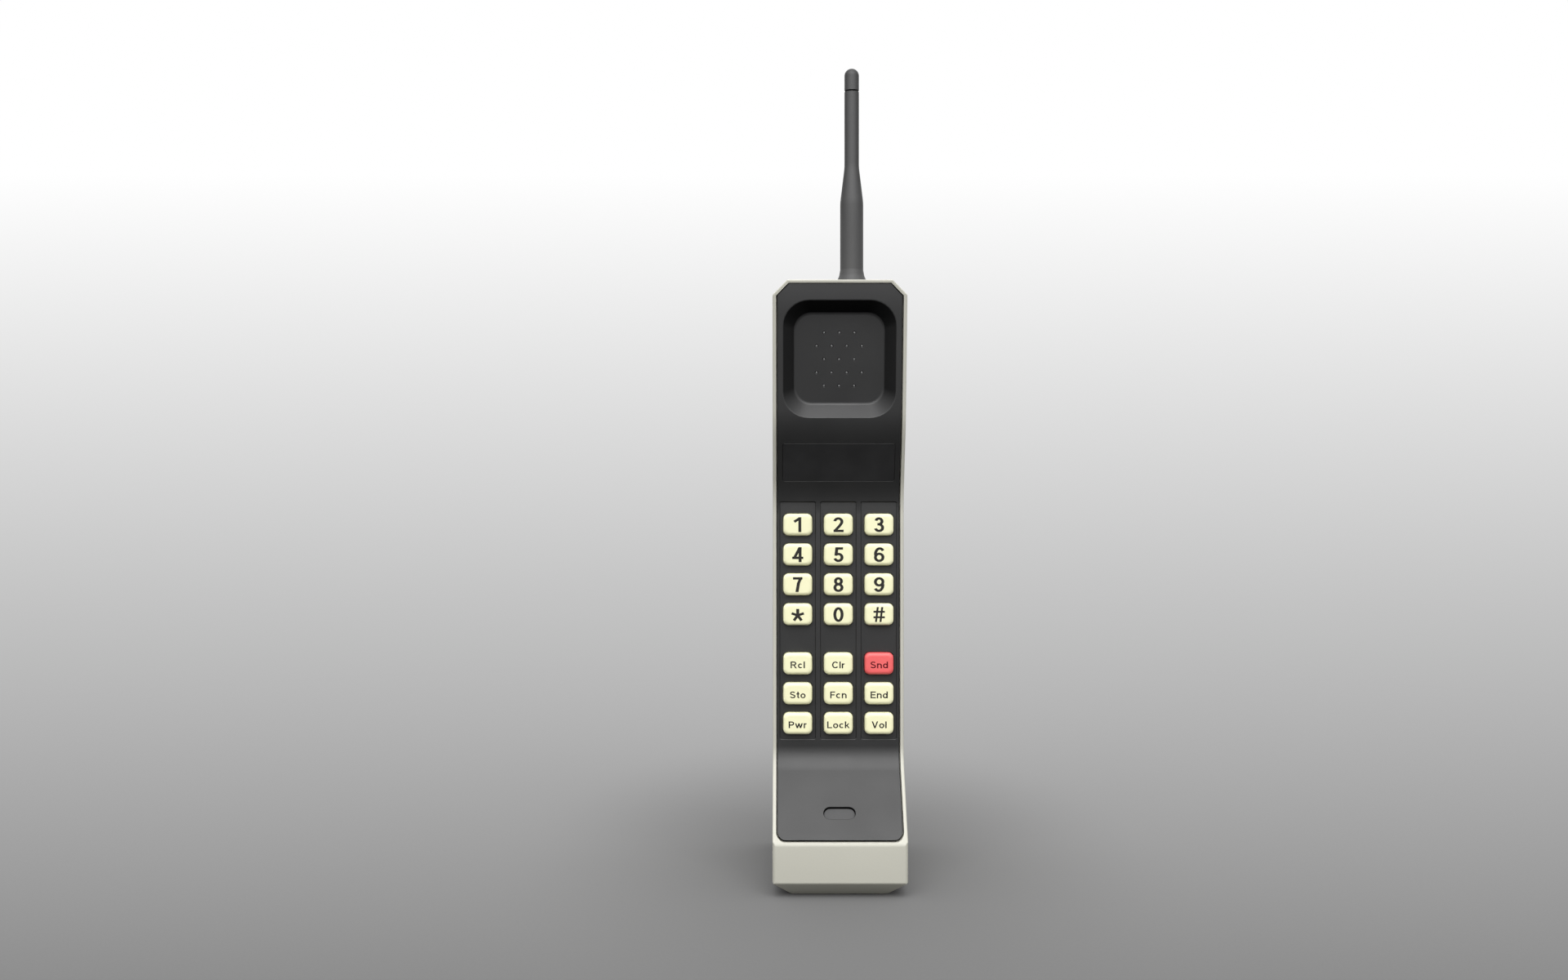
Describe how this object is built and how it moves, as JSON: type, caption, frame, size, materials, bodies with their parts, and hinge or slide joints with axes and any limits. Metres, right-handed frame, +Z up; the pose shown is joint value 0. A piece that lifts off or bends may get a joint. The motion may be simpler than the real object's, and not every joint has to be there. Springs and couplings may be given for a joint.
{
  "type": "early mobile brick phone",
  "caption": "Upright handheld cellular telephone with a stepped front, push-button keypad, smoked display, rubber antenna and slide-off battery pack.",
  "frame": {"origin": "on the ground, under the middle of the phone's width and depth", "axes": "+Z up along the phone, -Y out of the keypad, +X to the right of someone facing the keypad"},
  "size_m": [0.0446, 0.089, 0.2833],
  "materials": {
    "casing": "pale warm grey moulded plastic, fine satin texture",
    "front_panel": "near-black moulded plastic, fine grain",
    "back_plate": "near-black moulded plastic, fine grain",
    "window": "polished smoked acrylic",
    "key_cream": "cream moulded caps, satin",
    "key_red": "red moulded cap, satin",
    "rubber": "black moulded rubber",
    "keypad_mat": "grey silicone rubber",
    "screen_cloth": "fine woven acoustic cloth",
    "circuit_board": "green lacquer over glass-epoxy laminate",
    "tin": "tin-plated sheet steel",
    "steel": "zinc-plated steel",
    "spring_steel": "bright drawn wire",
    "chassis": "passivated sheet",
    "filter": "plated cast block",
    "brass": "turned, lightly tarnished",
    "gold": "gold-plated contact strip",
    "copper": "enamelled copper wire",
    "cell_wrap": "cell cans in a shrunk plastic sleeve",
    "ribbon": "flat insulated cable",
    "battery_cover": "near-black moulded plastic",
    "latch": "near-black moulded plastic, ribbed face"
  },
  "bodies": {
    "phone": {"casing": "casing", "front_panel": "front_panel", "back_plate": "back_plate", "screw_bottom_left": "steel", "screw_bottom_right": "steel", "screw_top_left": "steel", "screw_top_right": "steel", "display_window": "window", "display_module": "circuit_board", "earpiece_mesh": "screen_cloth", "earpiece_speaker": "steel", "microphone_screen": "screen_cloth", "microphone_boot": "rubber", "microphone": "tin", "keypad_mat": "keypad_mat", "keypad_board": "circuit_board", "chassis_plate": "chassis", "main_board": "circuit_board", "rf_shield": "tin", "duplexer": "filter", "ribbon_cable": "ribbon", "coax_lead": "rubber", "accessory_socket": "back_plate", "antenna_socket": "brass", "latch_spring": "spring_steel", "contact_spring_positive": "gold", "contact_spring_negative": "gold"},
    "antenna_lift": {"antenna_washer": "rubber"},
    "antenna": {"antenna_ferrule": "brass", "antenna_sheath": "rubber", "antenna_coil": "copper", "antenna_tip_cap": "rubber"},
    "battery_pack": {"battery_case": "casing", "battery_cover": "battery_cover", "cell_stick_left": "cell_wrap", "cell_stick_right": "cell_wrap", "contact_pad_positive": "gold", "contact_pad_negative": "gold"},
    "battery_latch_button": {"battery_latch": "latch"},
    "button_1": {"key_1": "key_cream"},
    "button_2": {"key_2": "key_cream"},
    "button_3": {"key_3": "key_cream"},
    "button_4": {"key_4": "key_cream"},
    "button_5": {"key_5": "key_cream"},
    "button_6": {"key_6": "key_cream"},
    "button_7": {"key_7": "key_cream"},
    "button_8": {"key_8": "key_cream"},
    "button_9": {"key_9": "key_cream"},
    "button_star": {"key_star": "key_cream"},
    "button_0": {"key_0": "key_cream"},
    "button_hash": {"key_hash": "key_cream"},
    "button_recall": {"key_recall": "key_cream"},
    "button_clear": {"key_clear": "key_cream"},
    "button_send": {"key_send": "key_red"},
    "button_store": {"key_store": "key_cream"},
    "button_function": {"key_function": "key_cream"},
    "button_end": {"key_end": "key_cream"},
    "button_power": {"key_power": "key_cream"},
    "button_lock": {"key_lock": "key_cream"},
    "button_volume": {"key_volume": "key_cream"}
  },
  "joints": [
    {"name": "press_1", "type": "slide", "parent": "phone", "child": "button_1", "axis": [0, 1, 0], "range_m": [0, 0.0012], "stiffness_N_per_m": 300, "deforming": ["keypad_mat"]},
    {"name": "press_2", "type": "slide", "parent": "phone", "child": "button_2", "axis": [0, 1, 0], "range_m": [0, 0.0012], "stiffness_N_per_m": 300, "deforming": ["keypad_mat"]},
    {"name": "press_3", "type": "slide", "parent": "phone", "child": "button_3", "axis": [0, 1, 0], "range_m": [0, 0.0012], "stiffness_N_per_m": 300, "deforming": ["keypad_mat"]},
    {"name": "press_4", "type": "slide", "parent": "phone", "child": "button_4", "axis": [0, 1, 0], "range_m": [0, 0.0012], "stiffness_N_per_m": 300, "deforming": ["keypad_mat"]},
    {"name": "press_5", "type": "slide", "parent": "phone", "child": "button_5", "axis": [0, 1, 0], "range_m": [0, 0.0012], "stiffness_N_per_m": 300, "deforming": ["keypad_mat"]},
    {"name": "press_6", "type": "slide", "parent": "phone", "child": "button_6", "axis": [0, 1, 0], "range_m": [0, 0.0012], "stiffness_N_per_m": 300, "deforming": ["keypad_mat"]},
    {"name": "press_7", "type": "slide", "parent": "phone", "child": "button_7", "axis": [0, 1, 0], "range_m": [0, 0.0012], "stiffness_N_per_m": 300, "deforming": ["keypad_mat"]},
    {"name": "press_8", "type": "slide", "parent": "phone", "child": "button_8", "axis": [0, 1, 0], "range_m": [0, 0.0012], "stiffness_N_per_m": 300, "deforming": ["keypad_mat"]},
    {"name": "press_9", "type": "slide", "parent": "phone", "child": "button_9", "axis": [0, 1, 0], "range_m": [0, 0.0012], "stiffness_N_per_m": 300, "deforming": ["keypad_mat"]},
    {"name": "press_star", "type": "slide", "parent": "phone", "child": "button_star", "axis": [0, 1, 0], "range_m": [0, 0.0012], "stiffness_N_per_m": 300, "deforming": ["keypad_mat"]},
    {"name": "press_0", "type": "slide", "parent": "phone", "child": "button_0", "axis": [0, 1, 0], "range_m": [0, 0.0012], "stiffness_N_per_m": 300, "deforming": ["keypad_mat"]},
    {"name": "press_hash", "type": "slide", "parent": "phone", "child": "button_hash", "axis": [0, 1, 0], "range_m": [0, 0.0012], "stiffness_N_per_m": 300, "deforming": ["keypad_mat"]},
    {"name": "press_recall", "type": "slide", "parent": "phone", "child": "button_recall", "axis": [0, 1, 0], "range_m": [0, 0.0012], "stiffness_N_per_m": 300, "deforming": ["keypad_mat"]},
    {"name": "press_clear", "type": "slide", "parent": "phone", "child": "button_clear", "axis": [0, 1, 0], "range_m": [0, 0.0012], "stiffness_N_per_m": 300, "deforming": ["keypad_mat"]},
    {"name": "press_send", "type": "slide", "parent": "phone", "child": "button_send", "axis": [0, 1, 0], "range_m": [0, 0.0012], "stiffness_N_per_m": 300, "deforming": ["keypad_mat"]},
    {"name": "press_store", "type": "slide", "parent": "phone", "child": "button_store", "axis": [0, 1, 0], "range_m": [0, 0.0012], "stiffness_N_per_m": 300, "deforming": ["keypad_mat"]},
    {"name": "press_function", "type": "slide", "parent": "phone", "child": "button_function", "axis": [0, 1, 0], "range_m": [0, 0.0012], "stiffness_N_per_m": 300, "deforming": ["keypad_mat"]},
    {"name": "press_end", "type": "slide", "parent": "phone", "child": "button_end", "axis": [0, 1, 0], "range_m": [0, 0.0012], "stiffness_N_per_m": 300, "deforming": ["keypad_mat"]},
    {"name": "press_power", "type": "slide", "parent": "phone", "child": "button_power", "axis": [0, 1, 0], "range_m": [0, 0.0012], "stiffness_N_per_m": 300, "deforming": ["keypad_mat"]},
    {"name": "press_lock", "type": "slide", "parent": "phone", "child": "button_lock", "axis": [0, 1, 0], "range_m": [0, 0.0012], "stiffness_N_per_m": 300, "deforming": ["keypad_mat"]},
    {"name": "press_volume", "type": "slide", "parent": "phone", "child": "button_volume", "axis": [0, 1, 0], "range_m": [0, 0.0012], "stiffness_N_per_m": 300, "deforming": ["keypad_mat"]},
    {"name": "antenna_rise", "type": "slide", "parent": "phone", "child": "antenna_lift", "axis": [0, 0, 1], "range_m": [0, 0.007]},
    {"name": "antenna_unscrew", "type": "hinge", "parent": "antenna_lift", "child": "antenna", "pos_m": [0.0056, 0.0033, 0.205], "axis": [0, 0, 1], "range_deg": [0, 2520]},
    {"name": "battery_slide", "type": "slide", "parent": "phone", "child": "battery_pack", "axis": [0, 0, 1], "range_m": [0, 0.17]},
    {"name": "latch_press", "type": "slide", "parent": "phone", "child": "battery_latch_button", "axis": [0, -1, 0], "range_m": [0, 0.003], "stiffness_N_per_m": 300, "deforming": ["latch_spring"]}
  ],
  "couplings": [
    {"joint": "antenna_unscrew", "follows": "antenna_rise", "rad_per_m": 6283.2}
  ]
}
